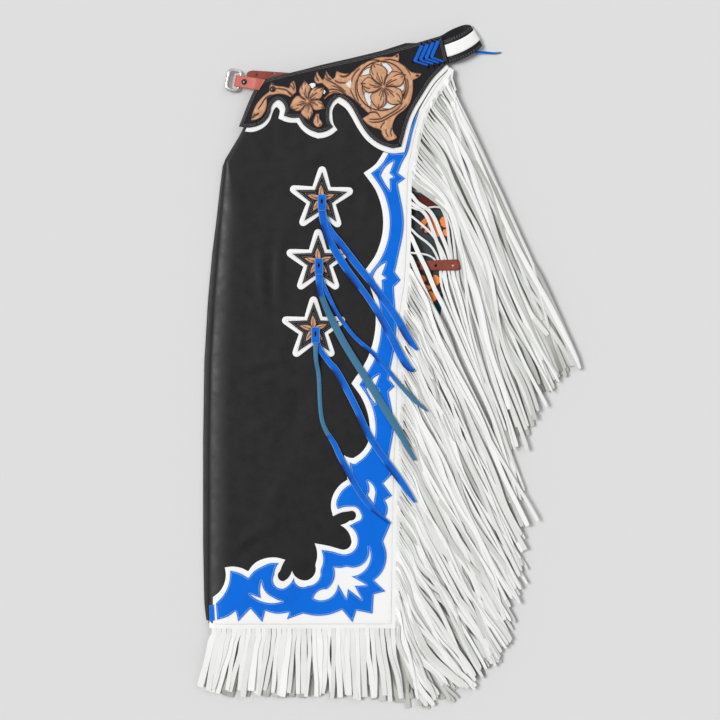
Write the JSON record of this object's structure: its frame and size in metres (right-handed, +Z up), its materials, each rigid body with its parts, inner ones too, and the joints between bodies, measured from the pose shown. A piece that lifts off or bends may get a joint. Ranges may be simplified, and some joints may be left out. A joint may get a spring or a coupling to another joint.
{
  "type": "fringed leather chaps",
  "caption": "Black leather riding chaps with long white fringe, blue flame border, tooled yoke, stars and belt, folded in half and laid flat.",
  "frame": {"origin": "on the floor under the middle of everything, at the height of the flat underside", "axes": "+Z up from the floor, +Y along the leg to the waist, +X from the leg's front fold to its fringed back edge"},
  "size_m": [0.621, 1.1214, 0.0228],
  "materials": {
    "black_leather": "smooth, fine grained, low sheen",
    "white_leather": "smooth, finished on one side",
    "blue_leather": "smooth on its face, teal nap on the back of the thongs",
    "tooled_leather": "tooled and stained, darker in its cuts",
    "strap_leather": "pebbled, waxed",
    "suede": "rough napped flesh side",
    "chrome": "polished",
    "rivet_metal": "glossy black"
  },
  "bodies": {
    "chaps": {"leg_panel": "black_leather", "hidden_layers": "black_leather", "border_white": "white_leather", "border_blue": "blue_leather", "border_end": "blue_leather", "yoke_underlay": "white_leather", "yoke": "black_leather", "stem_leaf": "tooled_leather", "bud": "tooled_leather", "vine": "tooled_leather", "inlay": "white_leather", "flower_small": "tooled_leather", "flower_large": "tooled_leather", "lacing_1": "blue_leather", "lacing_2": "blue_leather", "lacing_3": "blue_leather", "lacing_4": "blue_leather", "belt": "black_leather", "belt_overlay": "white_leather", "thong_end": "blue_leather", "star_white_1": "white_leather", "star_black_1": "black_leather", "star_flower_1": "tooled_leather", "knot_1": "blue_leather", "star_white_2": "white_leather", "star_black_2": "black_leather", "star_flower_2": "tooled_leather", "knot_2": "blue_leather", "star_white_3": "white_leather", "star_black_3": "black_leather", "star_flower_3": "tooled_leather", "knot_3": "blue_leather", "tie_1_a": "blue_leather", "tie_1_b": "blue_leather", "tie_2_a": "blue_leather", "tie_2_b": "blue_leather", "tie_3_a": "blue_leather", "tie_3_b": "blue_leather", "strap_front": "strap_leather", "rivet_dome": "rivet_metal", "rivet_washer": "rivet_metal", "rivet_yoke": "rivet_metal", "strap_far": "strap_leather", "flap": "suede", "strap_thigh": "strap_leather", "strap_leg": "strap_leather", "keeper_upper": "black_leather", "keeper_lower": "black_leather", "side_fringe_upper": "white_leather", "side_fringe_lower": "white_leather", "side_fringe_under_upper": "white_leather", "side_fringe_under_lower": "white_leather", "hem_fringe": "white_leather", "hem_fringe_under": "white_leather"},
    "ring": {"buckle_ring": "chrome"}
  },
  "joints": [
    {"name": "buckle_swing", "type": "hinge", "parent": "chaps", "child": "ring", "pos_m": [-0.24984, 0.46621, 0.007], "axis": [0.196, 0.9806, 0], "range_deg": [0, 130]}
  ]
}
